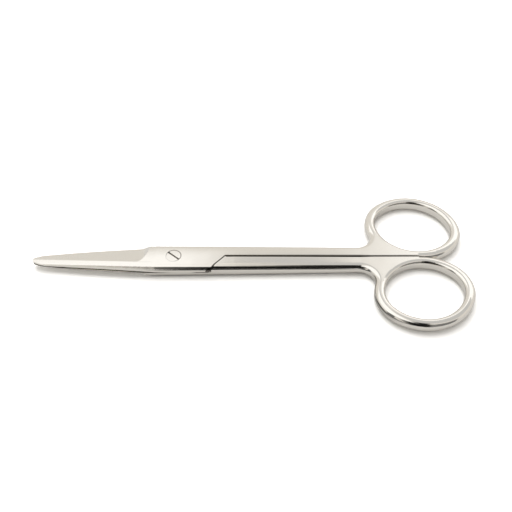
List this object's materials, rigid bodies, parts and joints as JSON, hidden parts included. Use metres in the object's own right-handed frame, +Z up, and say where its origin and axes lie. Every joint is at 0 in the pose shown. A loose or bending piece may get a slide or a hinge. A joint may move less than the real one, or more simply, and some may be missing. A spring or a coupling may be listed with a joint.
{
  "type": "dissecting scissors",
  "caption": "Straight surgical dissecting scissors with blunt bevelled blades, a lap joint with a slotted pivot screw and oval finger rings.",
  "frame": {"origin": "pivot axis where it meets the flat underside of the joint, the plane that the scissors lie on", "axes": "+X from the pivot to the finger rings with the blade tips towards -X, +Y towards the ring of the upper half, +Z up along the pivot axis"},
  "size_m": [0.1444, 0.0584, 0.005],
  "materials": {
    "forged_steel": "polished, with satin ground bevels",
    "screw_steel": "turned and polished"
  },
  "bodies": {
    "lower": {"lower_half": "forged_steel", "pivot_screw": "screw_steel"},
    "upper": {"upper_half": "forged_steel"}
  },
  "joints": [
    {"name": "pivot", "type": "hinge", "parent": "lower", "child": "upper", "pos_m": [0, 0, 0.0025], "axis": [0, 0, 1], "range_deg": [0, 130]}
  ]
}
